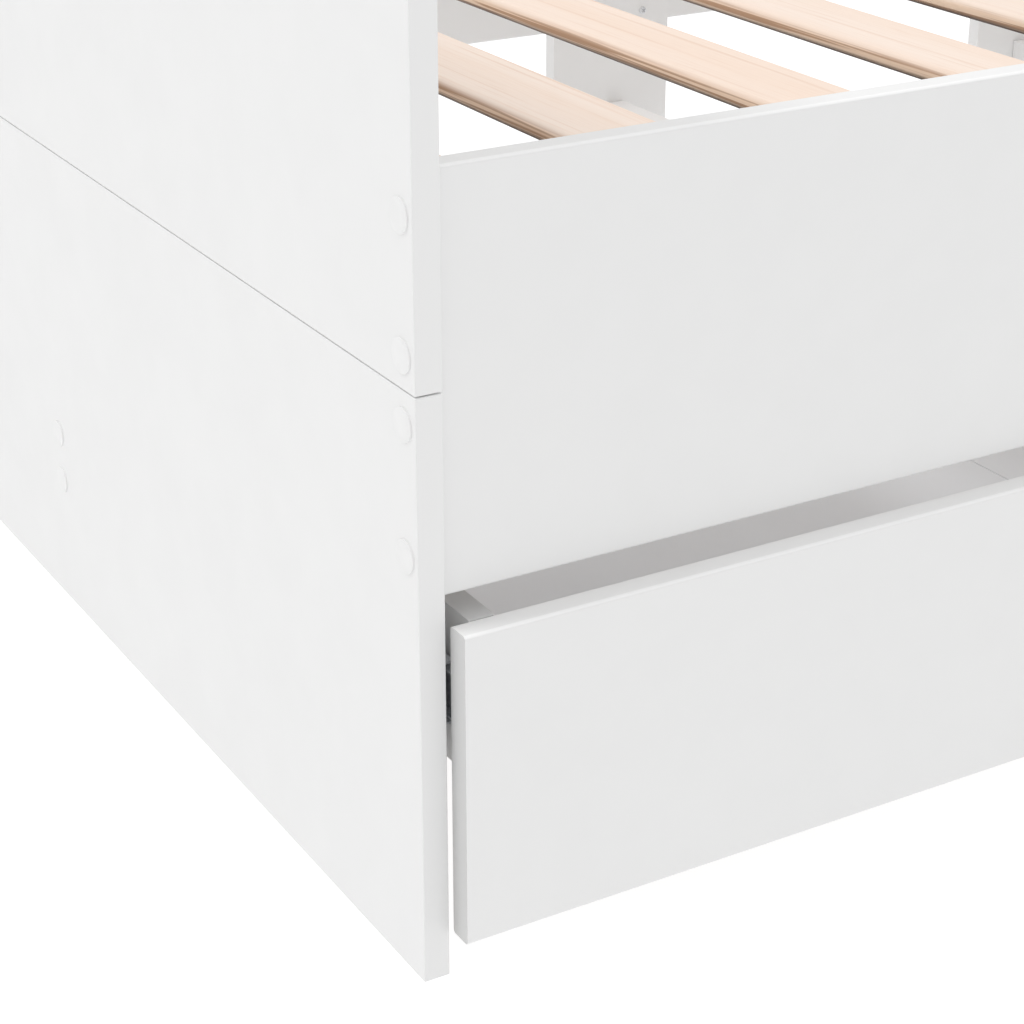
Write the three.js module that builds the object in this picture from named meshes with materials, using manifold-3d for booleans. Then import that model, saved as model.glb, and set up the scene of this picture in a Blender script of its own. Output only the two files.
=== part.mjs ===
// Single bed frame in white coated board with a pine slatted base and two drawers
// under its front side rail. Millimetres. X runs from headboard to footboard,
// Y from the drawer side to the back, Z up from the floor.
//
// Inside the model X starts at the headboard's inner face and Y at the front edge
// of the end panels. The group at the end moves it to the middle of its footprint.

import * as THREE from 'three';
import { mergeVertices } from 'three/addons/utils/BufferGeometryUtils.js';
import Module from 'manifold-3d';

const wasm = await Module();
wasm.setup();

// ---------------------------------------------------------------- driving dimensions

// Clearance between two pieces that meet.
const fit = 0.3;

const boardThickness = 15; // every coated board
const innerLength = 2005; // between the inner faces of the two end panels
const panelWidth = 1040; // end panels, from front edge to back edge
const headboardHeight = 740;
const lowerBoardHeight = 330; // each end panel is a lower and an upper board
const panelSeam = 0.8; // open line between lower and upper board

const railBottom = 220;
const railHeight = 220;
const railSetback = 5; // rail face behind the front edge of the end panels
const softEdgeRadius = 2; // rounded long edges of rails and drawer fronts

const slatCount = 14;
const slatWidth = 65;
const slatThickness = 12;
const slatEdgeRadius = 5.5;
const slatDrop = 58; // top of a slat below the top of the rails
const slatEndGap = 2; // end of a slat to the rail beside it
const firstSlatGap = 47; // end panel to the nearest slat, alike at both ends
const ledgeThickness = 20;
const ledgeHeight = 30;

const stretcherBottom = 70;
const stretcherHeight = 78;
const legWidth = 131;
const legOffset = 736; // end panel to the middle of the nearest back leg
const crossBoardThickness = 20;
const crossBoardShift = 4; // middle of a cross board past the middle of its leg

const drawerFloorGap = 26; // floor to the lower edge of a drawer front
const fingerGap = 14; // upper edge of a drawer front to the rail
const frontEndGap = 2.5; // drawer front to the end panel beside it
const frontMiddleGap = 3; // between the two drawer fronts
const drawerSideHeight = 90;
const drawerRearSpace = 38.5; // back of a closed drawer to the middle stretcher
const drawerBottomThickness = 3;
const drawerBottomLift = 2; // lower edge of the drawer sides to the drawer bottom
const grooveDepth = 6;
const battenWidth = 60;
const battenThickness = 12;
const dividerSetback = 2; // divider behind the closed drawer fronts

const slideHeight = 45;
const slideThickness = 12.7;
const slideSteel = 1.2;
const slideSetback = 2; // slide to the drawer front, and to the drawer's back end
const ballRoom = 3.4; // raceway between two nested slide members

// Slide section, measured from the fixed wall: where the middle member's web starts and
// where each member's flanges end.
const middleWebFace = 3.2;
const cabinetLip = 9;
const middleLip = 11;
const drawerLip = 6.4;

// How far each drawer stands open in the modelled position.
const leftDrawerOpen = 20;
const rightDrawerOpen = 0;

// ------------------------------------------------------------------ derived positions

const railTop = railBottom + railHeight;
const footboardHeight = railTop;
const railBack = railSetback + boardThickness;
const slatTop = railTop - slatDrop;
const slatBottom = slatTop - slatThickness;
const ledgeTop = slatBottom - fit;
const ledgeBottom = ledgeTop - ledgeHeight;
const stretcherFront = (panelWidth - boardThickness) / 2;
const stretcherBack = stretcherFront + boardThickness;
const stretcherTop = stretcherBottom + stretcherHeight;
const dividerLeft = (innerLength - boardThickness) / 2;
const dividerRight = dividerLeft + boardThickness;

const drawerTop = railBottom - fingerGap;
const drawerSideBottom = drawerTop - drawerSideHeight;
const drawerDepth = stretcherFront - railBack - drawerRearSpace;
const drawerBottomUnder = drawerSideBottom + drawerBottomLift;
const drawerBottomTop = drawerBottomUnder + drawerBottomThickness;
const slideLength = drawerDepth - 2 * slideSetback;
const slideMiddle = drawerSideBottom + drawerSideHeight / 2;

// -------------------------------------------------------------------------- materials

function whiteBoard() {
  return new THREE.MeshStandardMaterial({ color: 0xe9e9e8, roughness: 0.55, metalness: 0 });
}

function pine() {
  return new THREE.MeshStandardMaterial({ color: 0xe9d2b6, roughness: 0.7, metalness: 0 });
}

function hardboard() {
  return new THREE.MeshStandardMaterial({ color: 0xdedddb, roughness: 0.6, metalness: 0 });
}

function zincSteel() {
  return new THREE.MeshStandardMaterial({ color: 0x9a9da1, roughness: 0.35, metalness: 0.9 });
}

// ----------------------------------------------------------------------------- shapes

// A box between two corners, as a named mesh placed by its middle.
function block(name, material, low, high) {
  const size = high.map((value, axis) => value - low[axis]);
  const mesh = new THREE.Mesh(new THREE.BoxGeometry(...size), material);
  mesh.name = name;
  mesh.position.set(...low.map((value, axis) => value + size[axis] / 2));
  return mesh;
}

function roundedRectangle(width, height, radius) {
  const corner = Math.min(radius, width / 2 - fit, height / 2 - fit);
  const right = width / 2;
  const top = height / 2;
  const outline = new THREE.Shape();
  outline.absarc(right - corner, top - corner, corner, 0, Math.PI / 2);
  outline.absarc(corner - right, top - corner, corner, Math.PI / 2, Math.PI);
  outline.absarc(corner - right, corner - top, corner, Math.PI, 1.5 * Math.PI);
  outline.absarc(right - corner, corner - top, corner, 1.5 * Math.PI, 2 * Math.PI);
  outline.closePath();
  return outline;
}

// Straight pieces that stand for one rounded corner, and for an outline without any.
const cornerSteps = 5;
const straightSteps = 1;

// An outline pushed along a length, with the middle of that length at the origin.
function pushed(outline, length, arcSteps) {
  const settings = { depth: length, bevelEnabled: false, curveSegments: arcSteps };
  return new THREE.ExtrudeGeometry(outline, settings).translate(0, 0, -length / 2);
}

// A board between two corners whose four edges along X are rounded.
function softBoard(name, low, high) {
  const [length, depth, height] = high.map((value, axis) => value - low[axis]);
  const outline = roundedRectangle(height, depth, softEdgeRadius);
  const mesh = new THREE.Mesh(pushed(outline, length, cornerSteps), whiteBoard());
  mesh.name = name;
  mesh.rotation.y = Math.PI / 2;
  mesh.position.set(low[0] + length / 2, low[1] + depth / 2, low[2] + height / 2);
  return mesh;
}

function solidFrom(mesh) {
  mesh.updateMatrixWorld();
  const bare = mesh.geometry.clone();
  bare.deleteAttribute('normal');
  bare.deleteAttribute('uv');
  const merged = mergeVertices(bare.applyMatrix4(mesh.matrixWorld));
  const vertProperties = new Float32Array(merged.attributes.position.array);
  const triVerts = new Uint32Array(merged.index.array);
  return new wasm.Manifold(new wasm.Mesh({ numProp: 3, vertProperties, triVerts }));
}

// Cuts the cutter out of a mesh, which keeps its name and its place.
function cutOut(mesh, cutter) {
  const cut = solidFrom(mesh).subtract(solidFrom(cutter)).getMesh();
  const geometry = new THREE.BufferGeometry();
  geometry.setAttribute('position', new THREE.BufferAttribute(cut.vertProperties, 3));
  geometry.setIndex(new THREE.BufferAttribute(cut.triVerts, 1));
  mesh.geometry = geometry.applyMatrix4(mesh.matrixWorld.clone().invert());
  mesh.geometry.computeVertexNormals();
  return mesh;
}

// ------------------------------------------------------------------ end panels, rails

function endPanel(name, innerFace, side, height) {
  const outerFace = innerFace + side * boardThickness;
  const left = Math.min(innerFace, outerFace);
  const right = Math.max(innerFace, outerFace);
  const seamTop = lowerBoardHeight + panelSeam;
  return [
    block(`${name}_lower_board`, whiteBoard(), [left, 0, 0], [right, panelWidth, lowerBoardHeight]),
    block(`${name}_upper_board`, whiteBoard(), [left, 0, seamTop], [right, panelWidth, height]),
  ];
}

function rails() {
  const low = [fit, railSetback, railBottom];
  const high = [innerLength - fit, railBack, railTop];
  return [
    softBoard('front_rail', low, high),
    softBoard('back_rail', [low[0], panelWidth - railBack, low[2]],
      [high[0], panelWidth - railSetback, high[2]]),
  ];
}

function ledges() {
  const near = railBack + fit;
  const far = near + ledgeThickness;
  return [
    block('front_slat_ledge', pine(), [fit, near, ledgeBottom], [innerLength - fit, far, ledgeTop]),
    block('back_slat_ledge', pine(), [fit, panelWidth - far, ledgeBottom],
      [innerLength - fit, panelWidth - near, ledgeTop]),
  ];
}

// ------------------------------------------------------------------------ slatted base

function slats() {
  const length = panelWidth - 2 * (railBack + slatEndGap);
  const outline = roundedRectangle(slatWidth, slatThickness, slatEdgeRadius);
  const pitch = (innerLength - 2 * firstSlatGap - slatWidth) / (slatCount - 1);
  const made = [];
  for (let number = 1; number <= slatCount; number += 1) {
    const slat = new THREE.Mesh(pushed(outline, length, cornerSteps), pine());
    slat.name = `slat_${String(number).padStart(2, '0')}`;
    slat.rotation.x = -Math.PI / 2;
    slat.position.x = firstSlatGap + slatWidth / 2 + (number - 1) * pitch;
    slat.position.y = panelWidth / 2;
    slat.position.z = slatBottom + slatThickness / 2;
    made.push(slat);
  }
  return made;
}

// -------------------------------------------------------------------- under the slats

// A back leg with its cross board, which stands a little towards the middle of the bed.
function backSupport(name, middle, inward) {
  const legTop = ledgeBottom - fit;
  const legBack = panelWidth - railBack - fit;
  const legFront = legBack - boardThickness;
  const left = middle + inward * crossBoardShift - crossBoardThickness / 2;
  return [
    block(`${name}_back_leg`, whiteBoard(), [middle - legWidth / 2, legFront, 0],
      [middle + legWidth / 2, legBack, legTop]),
    block(`${name}_cross_board`, whiteBoard(), [left, stretcherBack + fit, stretcherBottom],
      [left + crossBoardThickness, legFront - fit, stretcherTop]),
  ];
}

function underFrame() {
  return [
    block('middle_stretcher', whiteBoard(), [fit, stretcherFront, stretcherBottom],
      [innerLength - fit, stretcherBack, stretcherTop]),
    block('drawer_divider', whiteBoard(), [dividerLeft, railBack + dividerSetback, 0],
      [dividerRight, stretcherFront - fit, ledgeBottom - fit]),
    ...backSupport('left', legOffset, 1),
    ...backSupport('right', innerLength - legOffset, -1),
  ];
}

// --------------------------------------------------------------------- drawer slides

// Section of one slide member: a web on one side with a flange at its top and bottom.
function channel(webFace, lipFace, height) {
  const side = Math.sign(lipFace - webFace);
  const innerWeb = webFace + side * slideSteel;
  const top = height / 2;
  const innerTop = top - slideSteel;
  const points = [
    [webFace, -top], [lipFace, -top], [lipFace, -innerTop], [innerWeb, -innerTop],
    [innerWeb, innerTop], [lipFace, innerTop], [lipFace, top], [webFace, top],
  ];
  return new THREE.Shape(points.map(([across, up]) => new THREE.Vector2(across, up)));
}

// Three nested members from the fixed wall towards the drawer. The middle one moves half
// as far as the drawer. The section is drawn from the wall, and side is its direction.
function slide(name, wallFace, side, open) {
  const middleHeight = slideHeight - 2 * (slideSteel + ballRoom);
  const drawerHeight = middleHeight - 2 * (slideSteel + ballRoom);
  const members = [
    ['cabinet_member', 0, cabinetLip, slideHeight, 0],
    ['middle_member', middleWebFace, middleLip, middleHeight, open / 2],
    ['drawer_member', slideThickness, drawerLip, drawerHeight, open],
  ];
  return members.map(([member, webFace, lipFace, height, moved]) => {
    const outline = channel(side * webFace, side * lipFace, height);
    const mesh = new THREE.Mesh(pushed(outline, slideLength, straightSteps), zincSteel());
    mesh.name = `${name}_${member}`;
    mesh.rotation.x = -Math.PI / 2;
    mesh.position.set(wallFace, railBack + slideSetback + slideLength / 2 - moved, slideMiddle);
    return mesh;
  });
}

// ---------------------------------------------------------------------------- drawers

// One drawer between two fixed faces, with its front, box, bottom and slides.
function drawer(name, leftWall, rightWall, frontLeft, frontRight, open) {
  const frontFace = railSetback - open;
  const boxFront = railBack - open;
  const boxBack = boxFront + drawerDepth;
  const boxLeft = leftWall + slideThickness + fit;
  const boxRight = rightWall - slideThickness - fit;
  const insideLeft = boxLeft + boardThickness;
  const insideRight = boxRight - boardThickness;
  const boxMiddle = (boxLeft + boxRight) / 2;

  const groove = block('groove', null,
    [insideLeft - grooveDepth, boxFront - grooveDepth, drawerBottomUnder - fit],
    [insideRight + grooveDepth, boxBack + grooveDepth, drawerBottomTop + fit]);
  const front = softBoard(`${name}_front`, [frontLeft, frontFace, drawerFloorGap],
    [frontRight, boxFront, drawerTop]);
  const leftSide = block(`${name}_left_side`, whiteBoard(),
    [boxLeft, boxFront + fit, drawerSideBottom], [insideLeft, boxBack, drawerTop]);
  const rightSide = block(`${name}_right_side`, whiteBoard(),
    [insideRight, boxFront + fit, drawerSideBottom], [boxRight, boxBack, drawerTop]);
  const grooved = [front, leftSide, rightSide].map((mesh) => cutOut(mesh, groove));

  const back = block(`${name}_back`, whiteBoard(),
    [insideLeft + fit, boxBack - boardThickness, drawerBottomTop + fit],
    [insideRight - fit, boxBack, drawerTop]);
  const bottomLeft = block(`${name}_bottom_left`, hardboard(),
    [insideLeft - grooveDepth + fit, boxFront - grooveDepth + fit, drawerBottomUnder],
    [boxMiddle - fit, boxBack, drawerBottomTop]);
  const bottomRight = block(`${name}_bottom_right`, hardboard(),
    [boxMiddle + fit, boxFront - grooveDepth + fit, drawerBottomUnder],
    [insideRight + grooveDepth - fit, boxBack, drawerBottomTop]);
  const battenTop = drawerBottomUnder - fit;
  const batten = block(`${name}_bottom_batten`, whiteBoard(),
    [boxMiddle - battenWidth / 2, boxFront + fit, battenTop - battenThickness],
    [boxMiddle + battenWidth / 2, boxBack, battenTop]);

  return [
    ...grooved, back, bottomLeft, bottomRight, batten,
    ...slide(`${name}_left_slide`, leftWall + fit / 2, 1, open),
    ...slide(`${name}_right_slide`, rightWall - fit / 2, -1, open),
  ];
}

function drawers() {
  const frontSplit = innerLength / 2;
  return [
    ...drawer('left_drawer', 0, dividerLeft, frontEndGap, frontSplit - frontMiddleGap / 2,
      leftDrawerOpen),
    ...drawer('right_drawer', dividerRight, innerLength, frontSplit + frontMiddleGap / 2,
      innerLength - frontEndGap, rightDrawerOpen),
  ];
}

// --------------------------------------------------------------------------- assembly

const bed = new THREE.Group();
bed.add(
  ...endPanel('headboard', 0, -1, headboardHeight),
  ...endPanel('footboard', innerLength, 1, footboardHeight),
  ...rails(), ...ledges(), ...slats(), ...underFrame(), ...drawers(),
);

const frontmost = Math.min(0, railSetback - leftDrawerOpen, railSetback - rightDrawerOpen);
bed.position.set(-innerLength / 2, -(frontmost + panelWidth) / 2, 0);

const bedFrame = new THREE.Group();
bedFrame.add(bed);

export default bedFrame;
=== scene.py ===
"""Finishes, fittings, stage and camera for a single bed frame with two drawers.

The boards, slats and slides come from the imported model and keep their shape. This script
eases their edges, gives each one its finish, adds the small fittings that hold them
together, and sets up a pale studio around the bed. Lengths are in metres.
"""

import logging
import math
from collections.abc import Callable, Iterable
from dataclasses import dataclass
from enum import Enum

import bmesh
import bpy
from mathutils import Matrix, Vector


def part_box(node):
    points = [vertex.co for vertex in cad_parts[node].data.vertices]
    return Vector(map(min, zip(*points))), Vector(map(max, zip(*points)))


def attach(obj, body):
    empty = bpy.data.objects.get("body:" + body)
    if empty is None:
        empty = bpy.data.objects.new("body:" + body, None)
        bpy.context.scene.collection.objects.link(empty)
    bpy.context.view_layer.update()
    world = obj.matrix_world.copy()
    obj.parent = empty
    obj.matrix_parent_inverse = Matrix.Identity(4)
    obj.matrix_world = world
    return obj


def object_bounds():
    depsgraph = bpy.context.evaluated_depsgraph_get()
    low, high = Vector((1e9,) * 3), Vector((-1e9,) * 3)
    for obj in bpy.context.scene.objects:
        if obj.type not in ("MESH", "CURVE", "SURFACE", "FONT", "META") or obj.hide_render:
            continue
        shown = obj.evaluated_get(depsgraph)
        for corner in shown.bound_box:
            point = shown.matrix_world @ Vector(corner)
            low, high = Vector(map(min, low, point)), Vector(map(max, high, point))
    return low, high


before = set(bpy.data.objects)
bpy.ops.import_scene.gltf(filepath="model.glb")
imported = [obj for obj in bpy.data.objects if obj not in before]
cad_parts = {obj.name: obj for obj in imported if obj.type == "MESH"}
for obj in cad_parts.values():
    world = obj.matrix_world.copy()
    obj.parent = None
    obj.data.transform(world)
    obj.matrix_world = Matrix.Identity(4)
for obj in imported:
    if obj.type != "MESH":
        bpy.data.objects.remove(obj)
CAD_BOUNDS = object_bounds()

MM = 0.001
UP = Vector((0.0, 0.0, 1.0))
SHARP_ANGLE = math.radians(35)  # edges of the fittings sharper than this stay crisp

Colour = tuple[float, float, float]
Range = tuple[float, float]

EVEN = (1.0, 1.0, 1.0)  # a pattern that is not drawn out along any axis
NOISE_SPREAD = (0.3, 0.7)  # where most of a noise's values lie

log = logging.getLogger("bed_frame")


# ------------------------------------------------------------------------------ helpers


class Axis(Enum):
    """A direction of the bed: along it, across it, or up."""

    X = 0
    Y = 1
    Z = 2


class Drive(Enum):
    """The shape of the recess that a tool turns a fastener by."""

    CROSS = "cross"
    HEX = "hex"


@dataclass(frozen=True)
class Span:
    """The lowest and highest corner of one board or slide member."""

    low: Vector
    high: Vector

    @classmethod
    def of(cls, node: str) -> "Span":
        """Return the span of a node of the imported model."""
        return cls(*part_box(node))

    @property
    def middle(self) -> Vector:
        """Return the middle of the span."""
        return (self.low + self.high) / 2

    @property
    def thin_axis(self) -> Axis:
        """Return the axis along which the board is thinnest."""
        size = self.high - self.low
        return Axis(min(range(3), key=lambda axis: size[axis]))


def light_of(red: float, green: float, blue: float) -> tuple[float, float, float, float]:
    """Turn a paint colour into the light values that a shader takes.

    Args:
        red: Red share as seen on a screen, 0 to 1.
        green: Green share as seen on a screen, 0 to 1.
        blue: Blue share as seen on a screen, 0 to 1.

    Returns:
        The linear colour with an alpha of 1.
    """
    def linear(value: float) -> float:
        """Return one channel in linear light, by the standard screen curve."""
        return value / 12.92 if value <= 0.04045 else ((value + 0.055) / 1.055) ** 2.4

    return (linear(red), linear(green), linear(blue), 1.0)


def drawn_out(along: Axis, share: float) -> tuple[float, float, float]:
    """Work out an axis scale that draws a pattern out along one axis.

    Args:
        along: The axis to draw it out along.
        share: The share of its scale that it keeps along that axis.

    Returns:
        The scale of each axis.
    """
    scale = [1.0, 1.0, 1.0]
    scale[along.value] = share
    return tuple(scale)


# ----------------------------------------------------------------------- shader building


class Graph:
    """A material and short calls that wire its nodes together."""

    # The sockets of a mix node that is set to colours.
    mix_share, mix_first, mix_second, mix_result = 0, 6, 7, 2

    def __init__(self, name: str) -> None:
        """Start a material with only its surface shader.

        Args:
            name: The material's name.
        """
        self.material = bpy.data.materials.new(name)
        self.material.use_nodes = True
        self.tree = self.material.node_tree
        self.shader = self.tree.nodes["Principled BSDF"]
        self.coordinates = self.tree.nodes.new("ShaderNodeTexCoord")

    def node(self, kind: str, inputs: dict | None = None, **settings: object) -> bpy.types.Node:
        """Add a node.

        Args:
            kind: The node type after "ShaderNode".
            inputs: Values or output sockets for its inputs, by name or number.
            **settings: Attributes to set on the node.

        Returns:
            The new node.
        """
        made = self.tree.nodes.new(f"ShaderNode{kind}")
        for key, value in settings.items():
            setattr(made, key, value)
        for key, value in (inputs or {}).items():
            self.feed(made.inputs[key], value)
        return made

    def feed(self, socket: bpy.types.NodeSocket, value: object) -> None:
        """Link a socket to an output, or set its value.

        Args:
            socket: The input socket.
            value: An output socket to link from, or a value to set.
        """
        if isinstance(value, bpy.types.NodeSocket):
            self.tree.links.new(value, socket)
        else:
            socket.default_value = value

    def stretched(self, stretch: tuple[float, float, float]) -> bpy.types.NodeSocket:
        """Scale each axis of the place on the piece, in metres.

        Args:
            stretch: The scale of each axis.

        Returns:
            The scaled place.
        """
        return self.node("Mapping", {
            "Vector": self.coordinates.outputs["Object"], "Scale": stretch,
        }).outputs[0]

    def noise(
        self, stretch: tuple[float, float, float], scale: float, detail: float = 2.0,
        distortion: float = 0.0,
    ) -> bpy.types.NodeSocket:
        """Return cloudy noise.

        Args:
            stretch: How strongly each axis counts.
            scale: Cells in one metre.
            detail: Octaves of finer noise.
            distortion: How far the cells are pulled out of shape.

        Returns:
            A value around 0.5.
        """
        return self.node("TexNoise", {
            "Vector": self.stretched(stretch), "Scale": scale, "Detail": detail,
            "Distortion": distortion,
        }).outputs[0]

    def math(self, operation: str, first: object, second: object = 0.0) -> bpy.types.NodeSocket:
        """Return the result of one sum on two values or sockets."""
        return self.node("Math", {0: first, 1: second}, operation=operation).outputs[0]

    def remap(
        self, value: object, low: float, high: float, new_low: float = 0.0, new_high: float = 1.0
    ) -> bpy.types.NodeSocket:
        """Move a value smoothly from one range into another.

        Args:
            value: The value or socket.
            low: What becomes new_low. It may be more than high.
            high: What becomes new_high.
            new_low: The result at low.
            new_high: The result at high.

        Returns:
            The moved value.
        """
        return self.node("MapRange", {
            "Value": value, "From Min": low, "From Max": high, "To Min": new_low,
            "To Max": new_high,
        }, interpolation_type="SMOOTHSTEP").outputs[0]

    def mix(self, share: object, first: object, second: object) -> bpy.types.NodeSocket:
        """Blend two colours or colour sockets.

        Args:
            share: How much of the second colour shows, 0 to 1.
            first: The colour at 0.
            second: The colour at 1.

        Returns:
            The blended colour.
        """
        made = self.node("Mix", data_type="RGBA")
        self.feed(made.inputs[self.mix_share], share)
        self.feed(made.inputs[self.mix_first], first)
        self.feed(made.inputs[self.mix_second], second)
        return made.outputs[self.mix_result]

    def facing(self, axis: Axis) -> bpy.types.NodeSocket:
        """Return how squarely the surface faces along an axis, 0 to 1 either way."""
        return self.math("ABSOLUTE", self.facing_signed(axis))

    def facing_signed(self, axis: Axis) -> bpy.types.NodeSocket:
        """Return the surface's own normal along an axis, -1 to 1."""
        parts = self.node("SeparateXYZ", {0: self.coordinates.outputs["Normal"]})
        return parts.outputs[axis.value]

    def bump(
        self, height: bpy.types.NodeSocket, depth: float, strength: float,
        under: bpy.types.NodeSocket | None = None,
    ) -> bpy.types.NodeSocket:
        """Return a normal that follows a height.

        Args:
            height: The height socket, 0 to 1.
            depth: The real depth of the relief.
            strength: How much of it shows.
            under: A normal from a coarser relief to build on.

        Returns:
            The bumped normal.
        """
        made = self.node("Bump", {"Height": height, "Distance": depth, "Strength": strength})
        if under is not None:
            self.feed(made.inputs["Normal"], under)
        return made.outputs[0]

    def surface(self, **sockets: object) -> bpy.types.Material:
        """Set the shader's sockets.

        Args:
            **sockets: A value or output socket for each, named with _ for each space.

        Returns:
            The finished material.
        """
        for name, value in sockets.items():
            self.feed(self.shader.inputs[name.replace("_", " ").title()], value)
        return self.material


# ----------------------------------------------------------------------------- finishes


@dataclass(frozen=True)
class CoatedBoard:
    """White resin-coated particle board with a thin plastic edging, with painted light on the
    edges and rounded rims that face up.

    A range holds the two values of a noise, or of the surface's own normal, between which
    one look turns into the next.
    """

    thin_axis: Axis
    name: str = "white_board"
    face: Colour = (0.932, 0.932, 0.931)
    cloud: Colour = (0.929, 0.929, 0.928)
    edging: Colour = (0.930, 0.930, 0.929)
    # painted light: edges that face up are lighter than the other edges
    painted_upper_edge: Colour = (0.950, 0.950, 0.949)
    short_end: Colour = (0.930, 0.930, 0.929)
    # painted highlight: the colour of the rounded rims that face up
    painted_upper_rim: Colour = (0.985, 0.985, 0.984)
    on_face: Range = (0.90, 0.995)
    on_edge: Range = (0.10, 0.005)
    upward: Range = (0.25, 0.65)
    endward: Range = (0.70, 0.95)
    cloud_scale: float = 38.0
    cloud_range: Range = (0.35, 0.70)
    peel_scale: float = 330.0
    peel_depth: float = 0.12 * MM
    grain_scale: float = 1500.0
    grain_depth: float = 0.05 * MM
    relief_strength: float = 0.10
    gloss_scale: float = 22.0
    roughness: Range = (0.44, 0.56)

    def material(self) -> bpy.types.Material:
        """Make the material for boards that are thin along this finish's axis.

        Returns:
            The material.
        """
        graph = Graph(f"{self.name}_thin_{self.thin_axis.name.lower()}")
        faces = graph.facing(self.thin_axis)
        clouds = graph.noise(EVEN, self.cloud_scale, detail=3.0)
        coat = graph.mix(graph.remap(clouds, *self.cloud_range), light_of(*self.face),
                         light_of(*self.cloud))
        # how squarely the surface faces up, which sets where light is painted on edges and rims
        painted_from_above = graph.remap(graph.facing_signed(Axis.Z), *self.upward)
        # painted highlight on the rounded rims that face up
        painted_upper_rim = graph.mix(painted_from_above, light_of(*self.face), light_of(*self.painted_upper_rim))
        # painted light: edges that face up take the lighter colour
        edging = graph.mix(painted_from_above, light_of(*self.edging), light_of(*self.painted_upper_edge))
        # edges facing along X take their own colour, which the drawer fronts set darker as painted
        # shade
        at_end = graph.remap(graph.facing(Axis.X), *self.endward)
        edging = graph.mix(at_end, edging, light_of(*self.short_end))
        rim = graph.mix(graph.remap(faces, *self.on_edge), painted_upper_rim, edging)
        colour = graph.mix(graph.remap(faces, *self.on_face), rim, coat)
        peel = graph.noise(EVEN, self.peel_scale, detail=2.0)
        grain = graph.noise(EVEN, self.grain_scale, detail=1.0)
        relief = graph.bump(peel, self.peel_depth, self.relief_strength)
        relief = graph.bump(grain, self.grain_depth, self.relief_strength, relief)
        gloss = graph.noise(EVEN, self.gloss_scale, detail=4.0)
        rough = graph.remap(gloss, *NOISE_SPREAD, *self.roughness)
        return graph.surface(base_color=colour, roughness=rough, normal=relief)


@dataclass(frozen=True)
class Pine:
    """Planed pine with fine straight grain along one axis; its rounded sides are darker, partly
    with grain and partly painted shade, with a painted shadow along their lower edge.

    A stretch is the share of its scale that a pattern keeps along the wood.
    """

    along: Axis
    pale: Colour = (0.968, 0.903, 0.852)
    warm: Colour = (0.955, 0.872, 0.808)
    line: Colour = (0.870, 0.735, 0.635)
    # partly painted shade: the rounded sides are darker than the top, with grain lines
    side: Colour = (0.955, 0.845, 0.745)
    side_line: Colour = (0.725, 0.570, 0.450)
    # painted shadow: a near-black brown along the lower rounded edge
    painted_edge_shadow: Colour = (0.290, 0.205, 0.155)
    underside: Colour = (0.935, 0.900, 0.872)
    rounding: Range = (0.90, 0.05)
    lower_edge: Range = (-0.05, -0.85)
    flat_under: Range = (-0.93, -0.99)
    board_scale: float = 26.0
    board_stretch: float = 0.02
    board_range: Range = (0.35, 0.68)
    grain_scale: float = 210.0
    grain_stretch: float = 0.014
    line_range: Range = (0.54, 0.70)
    line_share: float = 0.38
    edge_scale: float = 520.0
    edge_stretch: float = 0.010
    edge_line_range: Range = (0.46, 0.58)
    edge_line_share: float = 0.95
    fibre_scale: float = 1100.0
    fibre_stretch: float = 0.02
    fibre_range: Range = (0.50, 0.80)
    fibre_share: float = 0.22
    fibre_depth: float = 0.25 * MM
    fibre_strength: float = 0.30
    grain_depth: float = 0.30 * MM
    grain_strength: float = 0.14
    roughness: Range = (0.54, 0.70)

    def stretch(self, share: float) -> tuple[float, float, float]:
        """Return an axis scale that draws a pattern out along the wood."""
        return drawn_out(self.along, share)

    def material(self) -> bpy.types.Material:
        """Make the pine material.

        Returns:
            The material.
        """
        graph = Graph(f"pine_along_{self.along.name.lower()}")
        boards = graph.noise(self.stretch(self.board_stretch), self.board_scale, detail=1.0)
        grain = graph.noise(self.stretch(self.grain_stretch), self.grain_scale, detail=3.0,
                            distortion=0.25)
        edge_grain = graph.noise(self.stretch(self.edge_stretch), self.edge_scale, detail=1.0)
        fibres = graph.noise(self.stretch(self.fibre_stretch), self.fibre_scale, detail=3.0)
        lines = graph.math("MULTIPLY", graph.remap(grain, *self.line_range), self.line_share)
        edge_lines = graph.math("MULTIPLY", graph.remap(edge_grain, *self.edge_line_range),
                                self.edge_line_share)
        threads = graph.remap(fibres, *self.fibre_range, 0.0, self.fibre_share)
        top = graph.mix(graph.remap(boards, *self.board_range), light_of(*self.pale),
                        light_of(*self.warm))
        top = graph.mix(lines, top, light_of(*self.line))
        top = graph.mix(threads, top, light_of(*self.line))
        side = graph.mix(edge_lines, light_of(*self.side), light_of(*self.side_line))
        up = graph.facing_signed(Axis.Z)
        # partly painted shade: the rounded sides take the darker, grain-lined colour
        wood = graph.mix(graph.remap(up, *self.rounding), top, side)
        # painted shadow along the slat's lower rounded edge
        wood = graph.mix(graph.remap(up, *self.lower_edge), wood, light_of(*self.painted_edge_shadow))
        wood = graph.mix(graph.remap(up, *self.flat_under), wood, light_of(*self.underside))
        relief = graph.bump(fibres, self.fibre_depth, self.fibre_strength)
        relief = graph.bump(grain, self.grain_depth, self.grain_strength, relief)
        rough = graph.remap(fibres, *NOISE_SPREAD, *self.roughness)
        return graph.surface(base_color=wood, roughness=rough, normal=relief)


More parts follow.
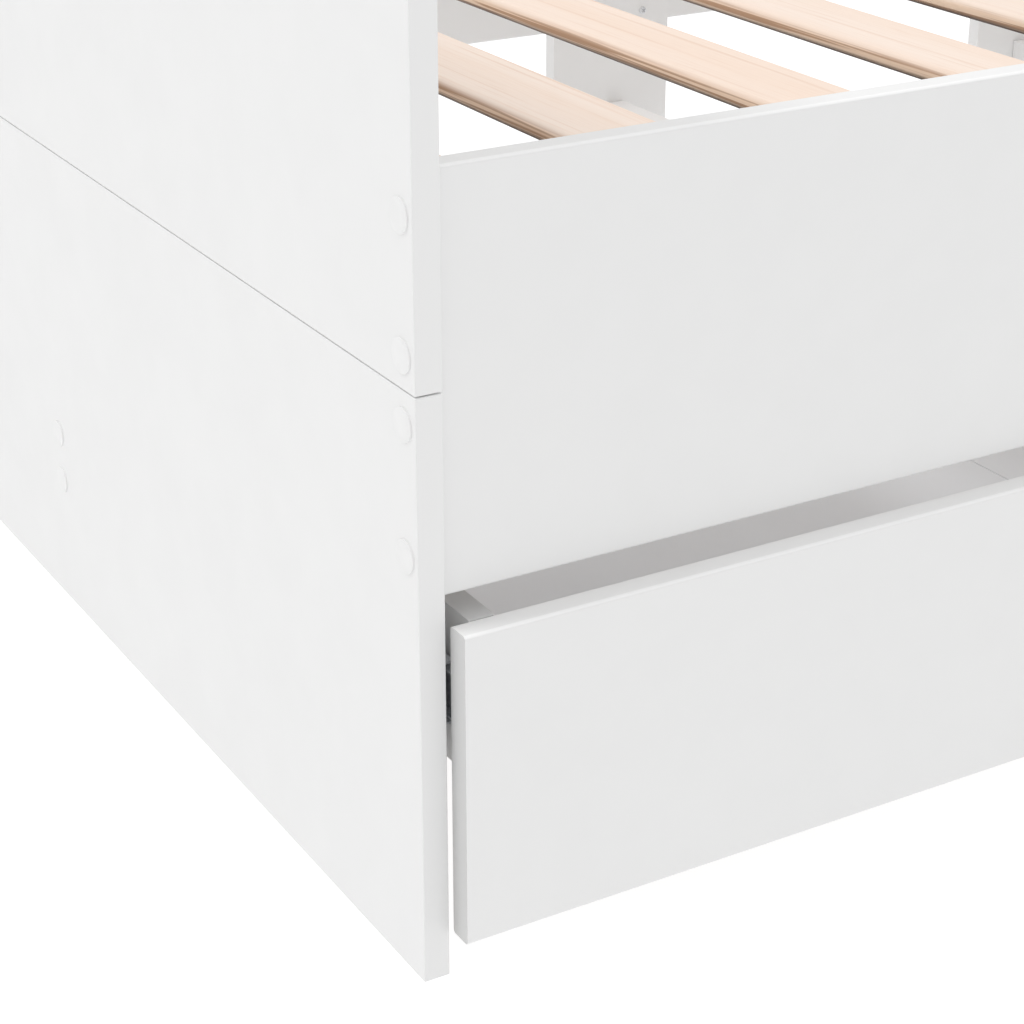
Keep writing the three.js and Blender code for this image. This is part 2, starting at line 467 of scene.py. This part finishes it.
@dataclass(frozen=True)
class Fibreboard:
    """Thin pressed fibreboard, white above and on its edges, and raw below."""

    coat: Colour = (0.910, 0.916, 0.925)
    coat_cloud: Colour = (0.905, 0.911, 0.920)
    raw: Colour = (0.560, 0.430, 0.310)
    raw_dark: Colour = (0.430, 0.315, 0.220)
    above_raw: Range = (-0.5, -0.2)
    cloud_scale: float = 11.0
    fibre_scale: float = 520.0
    fibre_range: Range = (0.35, 0.65)
    fibre_depth: float = 0.2 * MM
    fibre_strength: float = 0.12
    roughness: Range = (0.82, 0.48)

    def material(self) -> bpy.types.Material:
        """Make the fibreboard material, whose roughness runs from its raw side to its coat.

        Returns:
            The material.
        """
        graph = Graph("drawer_bottom_fibreboard")
        fibres = graph.noise(EVEN, self.fibre_scale, detail=4.0, distortion=1.2)
        clouds = graph.noise(EVEN, self.cloud_scale, detail=3.0)
        coat = graph.mix(graph.remap(clouds, *NOISE_SPREAD), light_of(*self.coat),
                         light_of(*self.coat_cloud))
        raw = graph.mix(graph.remap(fibres, *self.fibre_range), light_of(*self.raw),
                        light_of(*self.raw_dark))
        above = graph.remap(graph.facing_signed(Axis.Z), *self.above_raw)
        colour = graph.mix(above, raw, coat)
        relief = graph.bump(fibres, self.fibre_depth, self.fibre_strength)
        rough = graph.remap(above, 0.0, 1.0, *self.roughness)
        return graph.surface(base_color=colour, roughness=rough, normal=relief)


@dataclass(frozen=True)
class ZincSteel:
    """Zinc-plated steel with a pale dull skin and faint marks drawn along one axis."""

    name: str
    along: Axis = Axis.Y
    bright: Colour = (0.895, 0.902, 0.912)
    dull: Colour = (0.800, 0.810, 0.824)
    drawn: float = 0.03
    line_scale: float = 1700.0
    line_depth: float = 0.06 * MM
    line_strength: float = 0.25
    spangle_scale: float = 190.0
    spangle_range: Range = (0.35, 0.68)
    metallic: float = 0.30
    roughness: Range = (0.40, 0.56)

    def material(self) -> bpy.types.Material:
        """Make the plated steel material.

        Returns:
            The material.
        """
        graph = Graph(self.name)
        lines = graph.noise(drawn_out(self.along, self.drawn), self.line_scale, detail=2.0)
        spangle = graph.noise(EVEN, self.spangle_scale, detail=3.0, distortion=0.8)
        colour = graph.mix(graph.remap(spangle, *self.spangle_range), light_of(*self.bright),
                           light_of(*self.dull))
        relief = graph.bump(lines, self.line_depth, self.line_strength)
        rough = graph.remap(spangle, *NOISE_SPREAD, *self.roughness)
        return graph.surface(base_color=colour, metallic=self.metallic, roughness=rough,
                             normal=relief)


@dataclass(frozen=True)
class MouldedPlastic:
    """Smooth moulded plastic with a fine matt skin."""

    name: str
    colour: Colour
    shade: Colour
    roughness: Range = (0.36, 0.48)
    cloud_scale: float = 120.0
    skin_scale: float = 2600.0
    skin_depth: float = 0.04 * MM
    skin_strength: float = 0.15

    def material(self) -> bpy.types.Material:
        """Make the plastic material.

        Returns:
            The material.
        """
        graph = Graph(self.name)
        skin = graph.noise(EVEN, self.skin_scale, detail=2.0)
        clouds = graph.noise(EVEN, self.cloud_scale, detail=2.0)
        colour = graph.mix(graph.remap(clouds, *NOISE_SPREAD), light_of(*self.colour),
                           light_of(*self.shade))
        relief = graph.bump(skin, self.skin_depth, self.skin_strength)
        rough = graph.remap(clouds, *NOISE_SPREAD, *self.roughness)
        return graph.surface(base_color=colour, roughness=rough, normal=relief)


class Finishes:
    """Every finish of the bed, each made once and shared."""

    # painted shade: every edge and rim of the drawer box boards is greyer than the coat
    box_edge_shade: Colour = (0.800, 0.800, 0.798)
    # painted shade: the drawer fronts' short ends are greyer than their other edges
    front_end_shade: Colour = (0.830, 0.830, 0.828)

    def __init__(self) -> None:
        """Make the materials."""
        edging = self.box_edge_shade
        self.boards = {axis: CoatedBoard(axis).material() for axis in Axis}
        # drawer box boards, with the painted edge shade on every edge and rim
        self.box_boards = {
            axis: CoatedBoard(axis, "drawer_box_board", edging=edging, painted_upper_edge=edging,
                              painted_upper_rim=edging, short_end=edging).material()
            for axis in (Axis.X, Axis.Y)
        }
        # drawer fronts, with painted shade on their short ends
        self.drawer_front = CoatedBoard(Axis.Y, "drawer_front_board",
                                        short_end=self.front_end_shade).material()
        self.slat = Pine(Axis.Y).material()
        self.ledge = Pine(Axis.X).material()
        self.fibreboard = Fibreboard().material()
        self.slide = ZincSteel("slide_steel").material()
        self.screw = ZincSteel("screw_steel", drawn=1.0).material()
        self.cap = MouldedPlastic("cover_cap_white", colour=(0.932, 0.932, 0.931),
                                  shade=(0.927, 0.927, 0.926)).material()
        self.cage = MouldedPlastic("ball_cage_grey", colour=(0.66, 0.66, 0.67),
                                   shade=(0.62, 0.62, 0.63)).material()

    def of_node(self, name: str) -> bpy.types.Material:
        """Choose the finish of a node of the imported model, from its name and lie.

        Args:
            name: The node's name.

        Returns:
            The finish's material.
        """
        if "slide" in name:
            return self.slide
        if name.startswith("slat_"):
            return self.slat
        if name.endswith("ledge"):
            return self.ledge
        if name.endswith(("bottom_left", "bottom_right")):
            return self.fibreboard
        if name.endswith("drawer_front"):
            return self.drawer_front
        if name.endswith(("drawer_left_side", "drawer_right_side", "drawer_back")):
            return self.box_boards[Span.of(name).thin_axis]
        return self.boards[Span.of(name).thin_axis]


# ------------------------------------------------------------------------ carried boards


@dataclass
class Carcass:
    """The boards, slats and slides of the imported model, dressed where they stand."""

    finishes: Finishes
    board_easing: float = 0.7 * MM
    steel_easing: float = 0.25 * MM
    wood_easing: float = 0.9 * MM
    corner_angle: float = math.radians(40)
    easing_segments: int = 3
    weld_distance: float = 0.01 * MM
    face_weight: int = 100

    def easing_of(self, name: str) -> float:
        """Choose how far a node's sharp edges are eased.

        Args:
            name: The node's name.

        Returns:
            The width of the easing.
        """
        if "slide" in name:
            return self.steel_easing
        if name.startswith("slat_") or name.endswith("ledge"):
            return self.wood_easing
        return self.board_easing

    def dress(self, name: str, node: bpy.types.Object) -> None:
        """Ease a node's edges and give it its finish.

        Args:
            name: The node's name.
            node: The node.
        """
        weld = node.modifiers.new("weld", "WELD")
        weld.merge_threshold = self.weld_distance
        easing = node.modifiers.new("eased_edges", "BEVEL")
        easing.width = self.easing_of(name)
        easing.segments = self.easing_segments
        easing.limit_method = "ANGLE"
        easing.angle_limit = self.corner_angle
        easing.use_clamp_overlap = True
        easing.harden_normals = False
        weighted = node.modifiers.new("flat_faces", "WEIGHTED_NORMAL")
        weighted.keep_sharp = False
        weighted.weight = self.face_weight
        for slot in node.material_slots:
            slot.material = self.finishes.of_node(name)

    def build(self) -> int:
        """Dress every node.

        Returns:
            The number of nodes.
        """
        for name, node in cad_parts.items():
            self.dress(name, node)
            log.info("%s: dressed", name)
        return len(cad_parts)


# ------------------------------------------------------------------------- small fittings


@dataclass(frozen=True)
class Seat:
    """A place on a surface and the direction that a fitting there faces."""

    place: Vector
    facing: Vector
    turn: float = 0.0

    @property
    def matrix(self) -> Matrix:
        """Return the matrix that carries a fitting from the origin to this seat."""
        swing = UP.rotation_difference(self.facing).to_matrix().to_4x4()
        return Matrix.Translation(self.place) @ swing @ Matrix.Rotation(self.turn, 4, "Z")


def ring(sides: int, radius: Callable[[float], float] | float, height: float) -> list[Vector]:
    """Return points round the Z axis.

    Args:
        sides: The number of points.
        radius: One radius, or a radius for each angle.
        height: The height of the ring.

    Returns:
        The points, anticlockwise from +X.
    """
    points = []
    for step in range(sides):
        angle = 2 * math.pi * step / sides
        reach = radius(angle) if callable(radius) else radius
        points.append(Vector((reach * math.cos(angle), reach * math.sin(angle), height)))
    return points


def stack(shape: bmesh.types.BMesh, rings: Iterable[list[Vector]], matrix: Matrix) -> None:
    """Add a closed body through a row of rings, from its base up and in to its last ring.

    Args:
        shape: The mesh to add it to.
        rings: The rings, each with the same number of points.
        matrix: The matrix that carries the body from the origin to its seat.
    """
    rows = [[shape.verts.new(matrix @ point) for point in points] for points in rings]
    sides = len(rows[0])
    for lower, upper in zip(rows, rows[1:]):
        for step in range(sides):
            after = (step + 1) % sides
            shape.faces.new((lower[step], lower[after], upper[after], upper[step]))
    shape.faces.new(tuple(reversed(rows[0])))
    shape.faces.new(tuple(rows[-1]))


@dataclass(frozen=True)
class CoverCap:
    """A thin flat cap with an eased rim that covers a screw in a board.

    Its profile gives shares of its radius and height, from its base to its top.
    """

    radius: float = 9.0 * MM
    height: float = 0.9 * MM
    sides: int = 48
    profile: tuple[Range, ...] = ((1.0, 0.0), (1.0, 0.72), (0.988, 0.93), (0.962, 1.0), (0.5, 1.0))

    def add(self, shape: bmesh.types.BMesh, seat: Seat) -> None:
        """Add one cap to a mesh.

        Args:
            shape: The mesh.
            seat: Where the cap goes.
        """
        stack(shape, (ring(self.sides, self.radius * wide, self.height * high)
                      for wide, high in self.profile), seat.matrix)


@dataclass(frozen=True)
class Fastener:
    """The head of a screw or cam, with a recess for the tool.

    Its profile gives shares of its radius and height. The slot and the core are shares of
    half a cross recess, and the taper is the share of a recess's width left at its floor.
    """

    radius: float
    height: float
    drive: Drive
    recess_width: float
    recess_depth: float
    sides: int = 48
    profile: tuple[Range, ...] = ((1.0, 0.0), (1.0, 0.40), (0.96, 0.72), (0.86, 0.93), (0.72, 1.0))
    slot: float = 0.24
    core: float = 0.34
    taper: float = 0.86
    least_sine: float = 0.01

    def recess(self, angle: float) -> float:
        """Work out the recess's reach in one direction.

        Args:
            angle: The direction round the head's axis.

        Returns:
            The distance from the axis to the recess's wall.
        """
        half = self.recess_width / 2
        if self.drive is Drive.HEX:
            sector = math.pi / 3
            return half / math.cos((angle + sector / 2) % sector - sector / 2)
        quarter = math.pi / 2
        off_arm = abs((angle + quarter / 2) % quarter - quarter / 2)
        slot = self.slot * half / max(math.sin(off_arm), self.least_sine)
        return min(half, max(slot, self.core * half))

    def add(self, shape: bmesh.types.BMesh, seat: Seat) -> None:
        """Add one head to a mesh.

        Args:
            shape: The mesh.
            seat: Where the head goes.
        """
        floor = self.height - self.recess_depth
        rows = [ring(self.sides, self.radius * wide, self.height * high)
                for wide, high in self.profile]
        rows.append(ring(self.sides, self.recess, self.height))
        rows.append(ring(self.sides, lambda angle: self.taper * self.recess(angle), floor))
        stack(shape, rows, seat.matrix)


PAN_SCREW = Fastener(3.6 * MM, 1.9 * MM, Drive.CROSS, 4.4 * MM, 1.4 * MM)
SLIDE_SCREW = Fastener(3.2 * MM, 1.1 * MM, Drive.CROSS, 3.8 * MM, 0.8 * MM)
SLAT_SCREW = Fastener(3.8 * MM, 0.9 * MM, Drive.CROSS, 4.4 * MM, 0.7 * MM)
BOARD_SCREW = Fastener(4.8 * MM, 0.9 * MM, Drive.HEX, 4.0 * MM, 0.7 * MM)
CAM = Fastener(7.5 * MM, 0.7 * MM, Drive.CROSS, 8.5 * MM, 0.5 * MM)


def fittings(
    name: str, kind: CoverCap | Fastener, seats: list[Seat], material: bpy.types.Material,
    body: str,
) -> None:
    """Make one piece that holds every like fitting of a sub-assembly.

    Args:
        name: The piece's name.
        kind: The cap or fastener to repeat.
        seats: Where each one goes.
        material: Its finish.
        body: The body that it rides on.
    """
    shape = bmesh.new()
    for seat in seats:
        kind.add(shape, seat)
    mesh = bpy.data.meshes.new(name)
    shape.to_mesh(mesh)
    shape.free()
    mesh.materials.append(material)
    mesh.set_sharp_from_angle(angle=SHARP_ANGLE)
    piece = bpy.data.objects.new(name, mesh)
    bpy.context.scene.collection.objects.link(piece)
    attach(piece, body)
    log.info("%s: %d", name, len(seats))


@dataclass
class EndPanelCaps:
    """The cover caps on the outer face of one end panel."""

    end: str
    outward: float
    finishes: Finishes
    rail_margin: float = 23.0 * MM
    seam_margin: float = 17.2 * MM
    stretcher_margin: float = 22.0 * MM

    def build(self) -> None:
        """Make the caps of this end."""
        lower = Span.of(f"{self.end}_lower_board")
        upper = Span.of(f"{self.end}_upper_board")
        stretcher = Span.of("middle_stretcher")
        face = lower.low.x if self.outward < 0 else lower.high.x
        places = []
        for rail in (Span.of("front_rail"), Span.of("back_rail")):
            heights = (rail.low.z + self.rail_margin, lower.high.z - self.seam_margin,
                       upper.low.z + self.seam_margin, rail.high.z - self.rail_margin)
            places += [(rail.middle.y, height) for height in heights]
        for height in (stretcher.low.z + self.stretcher_margin,
                       stretcher.high.z - self.stretcher_margin):
            places.append((stretcher.middle.y, height))
        outward = Vector((self.outward, 0.0, 0.0))
        seats = [Seat(Vector((face, across, height)), outward) for across, height in places]
        fittings(f"{self.end}_cover_caps", CoverCap(), seats, self.finishes.cap, "root")


@dataclass
class SlattedBase:
    """The screws that hold the slats to the ledges and the ledges to the rails.

    A turn is how much further each screw is turned than the one before it.
    """

    finishes: Finishes
    ledge_screws: int = 9
    ledge_end: float = 60.0 * MM
    slat_screw_turn: float = 0.7
    ledge_screw_turn: float = 1.1

    def slat_screws(self) -> None:
        """Screw each end of each slat down to the ledge under it."""
        seats = []
        slats = sorted(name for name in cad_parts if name.startswith("slat_"))
        for ledge in (Span.of("front_slat_ledge"), Span.of("back_slat_ledge")):
            for number, name in enumerate(slats):
                slat = Span.of(name)
                place = Vector((slat.middle.x, ledge.middle.y, slat.high.z))
                seats.append(Seat(place, UP, turn=self.slat_screw_turn * number))
        fittings("slat_screws", SLAT_SCREW, seats, self.finishes.screw, "root")

    def ledge_fixings(self) -> None:
        """Screw both ledges to the rails from the inside."""
        seats = []
        for name, inward in (("front_slat_ledge", 1.0), ("back_slat_ledge", -1.0)):
            ledge = Span.of(name)
            face = ledge.high.y if inward > 0 else ledge.low.y
            first = ledge.low.x + self.ledge_end
            step = (ledge.high.x - self.ledge_end - first) / (self.ledge_screws - 1)
            for number in range(self.ledge_screws):
                place = Vector((first + number * step, face, ledge.middle.z))
                seats.append(Seat(place, Vector((0.0, inward, 0.0)),
                                  turn=self.ledge_screw_turn * number))
        fittings("ledge_screws", PAN_SCREW, seats, self.finishes.screw, "root")

    def build(self) -> None:
        """Make both sets of screws."""
        self.slat_screws()
        self.ledge_fixings()


@dataclass
class BackSupport:
    """The fixings of one back leg and the cross board that braces it."""

    side: str
    finishes: Finishes
    inset: float = 30.0 * MM
    height_above_rail: float = 15.0 * MM
    row_rise: float = 76.0 * MM
    board_margin: float = 22.0 * MM
    turn_by_height: float = 90.0

    def build(self) -> None:
        """Make the leg's screws, and the screws and caps of the cross board."""
        leg = Span.of(f"{self.side}_back_leg")
        brace = Span.of(f"{self.side}_cross_board")
        rail = Span.of("back_rail")
        stretcher = Span.of("middle_stretcher")
        low = rail.low.z + self.height_above_rail
        seats = [
            Seat(Vector((across, leg.low.y, height)), Vector((0.0, -1.0, 0.0)),
                 turn=height * self.turn_by_height)
            for across in (leg.low.x + self.inset, leg.high.x - self.inset)
            for height in (low, low + self.row_rise)
        ]
        fittings(f"{self.side}_back_leg_screws", PAN_SCREW, seats, self.finishes.screw, "root")
        heights = (brace.low.z + self.board_margin, brace.high.z - self.board_margin)
        behind = [Seat(Vector((brace.middle.x, leg.high.y, z)), Vector((0.0, 1.0, 0.0)))
                  for z in heights]
        ahead = [Seat(Vector((brace.middle.x, stretcher.low.y, z)), Vector((0.0, -1.0, 0.0)))
                 for z in heights]
        fittings(f"{self.side}_cross_board_caps", CoverCap(), behind + ahead, self.finishes.cap,
                 "root")


@dataclass
class DrawerFittings:
    """The cams, screws and ball cages of one drawer and its two slides.

    Places are shares of the way along a board or slide. Row starts are measured from the
    front end of the slide's middle member.
    """

    side: str
    finishes: Finishes
    cam_inset: float = 24.0 * MM
    cam_margin: float = 22.0 * MM
    lower_cam_margin: float = 28.6 * MM
    cam_turn: float = 0.5
    screw_margin: float = 20.0 * MM
    batten_margin: float = 18.0 * MM
    batten_front_margin: float = 54.0 * MM
    batten_screw_places: tuple[float, ...] = (0.0, 0.5, 1.0)
    batten_screw_turn: float = 2.0
    slide_screw_places: tuple[float, ...] = (0.07, 0.45, 0.93)
    slide_screw_turn: float = 4.0
    slide_plate: float = 1.2 * MM
    ball_radius: float = 1.5 * MM
    ball_subdivisions: int = 2
    balls: int = 12
    ball_pitch: float = 9.0 * MM
    cage_strip: float = 0.5 * MM
    cage_clearance: float = 1.2 * MM
    outer_row_start: float = 450.0 * MM
    inner_row_start: float = 20.0 * MM
    row_end_margin: float = 20.0 * MM

    @property
    def drawer(self) -> str:
        """Return the drawer's name, which is also its body's name."""
        return f"{self.side}_drawer"

    def cams(self) -> None:
        """Set the cams that pull the sides onto the drawer front."""
        seats = []
        for name, inward in (("left_side", 1.0), ("right_side", -1.0)):
            board = Span.of(f"{self.drawer}_{name}")
            face = board.high.x if inward > 0 else board.low.x
            for height in (board.low.z + self.lower_cam_margin,
                           board.high.z - self.cam_margin):
                place = Vector((face, board.low.y + self.cam_inset, height))
                seats.append(Seat(place, Vector((inward, 0.0, 0.0)), turn=self.cam_turn))
        fittings(f"{self.drawer}_cams", CAM, seats, self.finishes.screw, self.drawer)

    def board_screws(self) -> None:
        """Screw the sides to the back, and the batten to the bottom."""
        back = Span.of(f"{self.drawer}_back")
        seats = []
        for name, outward in (("left_side", -1.0), ("right_side", 1.0)):
            board = Span.of(f"{self.drawer}_{name}")
            face = board.low.x if outward < 0 else board.high.x
            for height in (back.low.z + self.screw_margin, back.high.z - self.screw_margin):
                place = Vector((face, back.middle.y, height))
                seats.append(Seat(place, Vector((outward, 0.0, 0.0))))
        fittings(f"{self.drawer}_side_screws", BOARD_SCREW, seats, self.finishes.screw,
                 self.drawer)
        batten = Span.of(f"{self.drawer}_bottom_batten")
        first, last = batten.low.y + self.batten_front_margin, back.middle.y
        under = []
        for share in self.batten_screw_places:
            for across in (batten.low.x + self.batten_margin, batten.high.x - self.batten_margin):
                place = Vector((across, first + share * (last - first), batten.low.z))
                under.append(Seat(place, -UP, turn=self.batten_screw_turn * share))
        fittings(f"{self.drawer}_batten_screws", PAN_SCREW, under, self.finishes.screw,
                 self.drawer)

    def slide_screws(self, slide: str, toward_drawer: float) -> None:
        """Screw the outer slide member to its wall and the inner one to the drawer.

        Args:
            slide: The slide's name, as its nodes start.
            toward_drawer: The sign of X from the fixed wall to the drawer.
        """
        for member, body, facing in (("cabinet_member", "root", toward_drawer),
                                     ("drawer_member", self.drawer, -toward_drawer)):
            span = Span.of(f"{slide}_{member}")
            web = self.slide_plate
            face = span.low.x + web if facing > 0 else span.high.x - web
            seats = []
            for share in self.slide_screw_places:
                along = span.low.y + share * (span.high.y - span.low.y)
                seats.append(Seat(Vector((face, along, span.middle.z)),
                                  Vector((facing, 0.0, 0.0)),
                                  turn=self.slide_screw_turn * share))
            fittings(f"{slide}_{member}_screws", SLIDE_SCREW, seats, self.finishes.screw, body)

    def ball_cages(self, slide: str) -> None:
        """Lay the four rows of balls in their cages between the slide's members.

        Args:
            slide: The slide's name, as its nodes start.
        """
        outer = Span.of(f"{slide}_cabinet_member")
        middle = Span.of(f"{slide}_middle_member")
        inner = Span.of(f"{slide}_drawer_member")
        plate = self.slide_plate
        gaps = [
            (middle.high.z, outer.high.z - plate, outer, self.outer_row_start),
            (outer.low.z + plate, middle.low.z, outer, self.outer_row_start),
            (inner.high.z, middle.high.z - plate, inner, self.inner_row_start),
            (middle.low.z + plate, inner.low.z, inner, self.inner_row_start),
        ]
        shape = bmesh.new()
        cage = bmesh.new()
        run = (self.balls - 1) * self.ball_pitch
        for low, high, other, start in gaps:
            height = (low + high) / 2
            left, right = max(other.low.x, middle.low.x), min(other.high.x, middle.high.x)
            across = (left + right) / 2
            first = min(middle.low.y + start, middle.high.y - run - self.row_end_margin)
            for number in range(self.balls):
                place = Vector((across, first + number * self.ball_pitch, height))
                bmesh.ops.create_icosphere(shape, subdivisions=self.ball_subdivisions,
                                           radius=self.ball_radius,
                                           matrix=Matrix.Translation(place))
            size = Vector((right - left - self.cage_clearance, run + self.ball_pitch,
                           self.cage_strip))
            centre = Vector((across, first + run / 2, height))
            bmesh.ops.create_cube(cage, size=1.0, matrix=Matrix.Translation(centre)
                                  @ Matrix.Diagonal((*size, 1.0)))
        runners = f"{self.drawer}_runners"
        for name, made, material, slot in (
            (f"{slide}_balls", shape, self.finishes.screw, "slide_steel"),
            (f"{slide}_ball_cage", cage, self.finishes.cage, "slide_steel"),
        ):
            mesh = bpy.data.meshes.new(name)
            made.to_mesh(mesh)
            made.free()
            mesh.materials.append(material)
            mesh.set_sharp_from_angle(angle=SHARP_ANGLE)
            piece = bpy.data.objects.new(name, mesh)
            bpy.context.scene.collection.objects.link(piece)
            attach(piece, runners)
            log.info("%s: %d rows", name, len(gaps))

    def build(self) -> None:
        """Make every fitting of the drawer."""
        self.cams()
        self.board_screws()
        for hand, toward_drawer in (("left", 1.0), ("right", -1.0)):
            slide = f"{self.drawer}_{hand}_slide"
            self.slide_screws(slide, toward_drawer)
            self.ball_cages(slide)


# -------------------------------------------------------------------------------- studio


@dataclass
class Studio:
    """The pale floor and the soft light all round the bed.

    The sky's strength is sky plus what sky_slope adds along each axis.
    """

    floor_size: float = 90.0
    floor_gap: float = 0.2 * MM
    sky: float = 0.33
    sky_slope: tuple[float, float, float] = (0.11, -0.02, 0.86)
    floor_tone: float = 0.20
    floor_glow: float = 0.92
    floor_roughness: float = 0.9
    lamp_place: tuple[float, float, float] = (-4.12, 0.66, 5.60)
    lamp_size: float = 1.4
    lamp_power: float = 90.0

    def floor(self) -> None:
        """Lay the floor."""
        shape = bmesh.new()
        bmesh.ops.create_grid(shape, x_segments=1, y_segments=1, size=self.floor_size / 2)
        mesh = bpy.data.meshes.new("studio_floor")
        shape.to_mesh(mesh)
        shape.free()
        graph = Graph("studio_floor")
        tone = (self.floor_tone, self.floor_tone, self.floor_tone, 1.0)
        graph.surface(base_color=tone, roughness=self.floor_roughness,
                      emission_color=(1.0, 1.0, 1.0, 1.0), emission_strength=self.floor_glow)
        mesh.materials.append(graph.material)
        ground = bpy.data.objects.new("studio_floor", mesh)
        ground.location.z = CAD_BOUNDS[0].z - self.floor_gap
        bpy.context.scene.collection.objects.link(ground)

    def surroundings(self) -> None:
        """Fill the room with light that is strongest overhead, in front of a white backdrop."""
        world = bpy.data.worlds.new("studio")
        world.use_nodes = True
        nodes, links = world.node_tree.nodes, world.node_tree.links
        background = nodes["Background"]
        background.inputs["Color"].default_value = (1.0, 1.0, 1.0, 1.0)
        direction = nodes.new("ShaderNodeTexCoord")
        lean = nodes.new("ShaderNodeVectorMath")
        lean.operation = "DOT_PRODUCT"
        lean.inputs[1].default_value = self.sky_slope
        total = nodes.new("ShaderNodeMath")
        total.inputs[1].default_value = self.sky
        rays = nodes.new("ShaderNodeLightPath")
        strength = nodes.new("ShaderNodeMath")
        strength.operation = "MAXIMUM"
        links.new(direction.outputs["Generated"], lean.inputs[0])
        links.new(lean.outputs["Value"], total.inputs[0])
        links.new(total.outputs[0], strength.inputs[0])
        links.new(rays.outputs["Is Camera Ray"], strength.inputs[1])
        links.new(strength.outputs[0], background.inputs["Strength"])
        bpy.context.scene.world = world

    def softbox(self, name: str, place: Vector, size: float, watts: float) -> None:
        """Hang one square light that faces the bed.

        Args:
            name: The light's name.
            place: Where it hangs.
            size: Its side.
            watts: Its power.
        """
        lamp = bpy.data.lights.new(name, "AREA")
        lamp.shape = "SQUARE"
        lamp.size = size
        lamp.energy = watts
        holder = bpy.data.objects.new(name, lamp)
        holder.location = place
        middle = (CAD_BOUNDS[0] + CAD_BOUNDS[1]) / 2
        holder.rotation_mode = "QUATERNION"
        holder.rotation_quaternion = (middle - place).to_track_quat("-Z", "Y")
        holder.visible_camera = False
        bpy.context.scene.collection.objects.link(holder)

    def build(self) -> None:
        """Set up the floor, the surroundings and the light."""
        self.floor()
        self.surroundings()
        self.softbox("head_light", Vector(self.lamp_place), self.lamp_size, self.lamp_power)
        bpy.context.scene.view_settings.view_transform = "Standard"


@dataclass(frozen=True)
class StudioCamera:
    """The camera, aimed past the front corner of the headboard."""

    offset: tuple[float, float, float] = (-0.4955, -0.9146, 0.742)
    azimuth: float = -30.25
    elevation: float = 23.25
    lens: float = 83.04
    shift: float = -0.05
    sensor: float = 36.0
    clip_start: float = 0.01
    clip_end: float = 200.0

    def build(self) -> None:
        """Make the camera and make it the scene's."""
        corner = Vector((Span.of("headboard_lower_board").high.x,
                         Span.of("headboard_lower_board").low.y, 0.0))
        data = bpy.data.cameras.new("studio_camera")
        data.lens = self.lens
        data.sensor_width = self.sensor
        data.shift_y = self.shift
        data.clip_start = self.clip_start
        data.clip_end = self.clip_end
        holder = bpy.data.objects.new("studio_camera", data)
        holder.location = corner + Vector(self.offset)
        turn, rise = math.radians(self.azimuth), math.radians(self.elevation)
        back = Vector((math.sin(turn) * math.cos(rise), -math.cos(turn) * math.cos(rise),
                       math.sin(rise)))
        holder.rotation_mode = "QUATERNION"
        holder.rotation_quaternion = (-back).to_track_quat("-Z", "Y")
        bpy.context.scene.collection.objects.link(holder)
        bpy.context.scene.camera = holder


# ---------------------------------------------------------------------------------- main


def main() -> None:
    """Build the bed's looks, then its studio."""
    logging.basicConfig(level=logging.INFO, format="%(name)s %(message)s")
    StudioCamera().build()
    finishes = Finishes()
    log.info("boards, slats and slides dressed: %d", Carcass(finishes).build())
    for end, outward in (("headboard", -1.0), ("footboard", 1.0)):
        EndPanelCaps(end, outward, finishes).build()
    SlattedBase(finishes).build()
    for side in ("left", "right"):
        BackSupport(side, finishes).build()
    for side in ("left", "right"):
        DrawerFittings(side, finishes).build()
    Studio().build()


if __name__ == "__main__":
    main()
